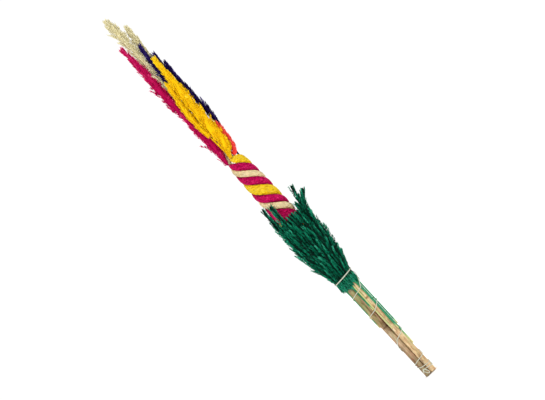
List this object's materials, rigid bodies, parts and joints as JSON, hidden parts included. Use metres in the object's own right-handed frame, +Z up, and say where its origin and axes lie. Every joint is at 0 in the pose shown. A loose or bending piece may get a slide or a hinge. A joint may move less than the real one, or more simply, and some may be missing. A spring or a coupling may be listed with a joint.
{
  "type": "easter palm",
  "caption": "Hand-held stick of bundled reeds bound with thread, with a collar of green dyed grass, a twisted wrap of dyed strands and loose coloured plumes on top.",
  "frame": {"origin": "middle of the reed bundle's cut butt end, on the plane of the cut", "axes": "+Z up the stick from the cut butt end to the plume tips; -Y is the front, the side with the thread's tied loop and the yellow plumes; +X is to the right seen from the front"},
  "size_m": [0.051, 0.042, 0.5],
  "materials": {
    "reed": "satin",
    "dry_leaf": "matte",
    "green_grass": "matte",
    "thread": "matte",
    "magenta_grass": "matte",
    "natural_grass": "matte",
    "yellow_grass": "matte",
    "navy_grass": "matte",
    "coral_grass": "matte"
  },
  "bodies": {
    "root": {"reed_front_left": "reed", "reed_front_right": "reed", "reed_back_left": "reed", "reed_back_right": "reed", "leaf_sheath": "dry_leaf", "green_grass_1": "green_grass", "green_grass_2": "green_grass", "green_grass_3": "green_grass", "green_grass_4": "green_grass", "green_grass_5": "green_grass", "green_grass_6": "green_grass", "green_grass_7": "green_grass", "green_grass_8": "green_grass", "green_grass_9": "green_grass", "green_grass_10": "green_grass", "green_grass_11": "green_grass", "green_grass_12": "green_grass", "green_grass_13": "green_grass", "green_grass_14": "green_grass", "green_grass_15": "green_grass", "green_grass_16": "green_grass", "green_grass_17": "green_grass", "green_grass_18": "green_grass", "green_grass_19": "green_grass", "green_grass_20": "green_grass", "green_grass_21": "green_grass", "green_grass_22": "green_grass", "green_grass_23": "green_grass", "green_grass_24": "green_grass", "neck_tie": "thread", "binding_thread": "thread", "thread_knot": "thread", "magenta_strand_a": "magenta_grass", "cream_strand": "natural_grass", "magenta_strand_b": "magenta_grass", "yellow_strand": "yellow_grass", "yellow_plume_a": "yellow_grass", "yellow_plume_b": "yellow_grass", "magenta_plume_a": "magenta_grass", "magenta_plume_b": "magenta_grass", "cream_plume_a": "natural_grass", "cream_plume_b": "natural_grass", "navy_plume_a": "navy_grass", "navy_plume_b": "navy_grass", "navy_plume_c": "navy_grass", "coral_plume": "coral_grass"}
  },
  "joints": []
}
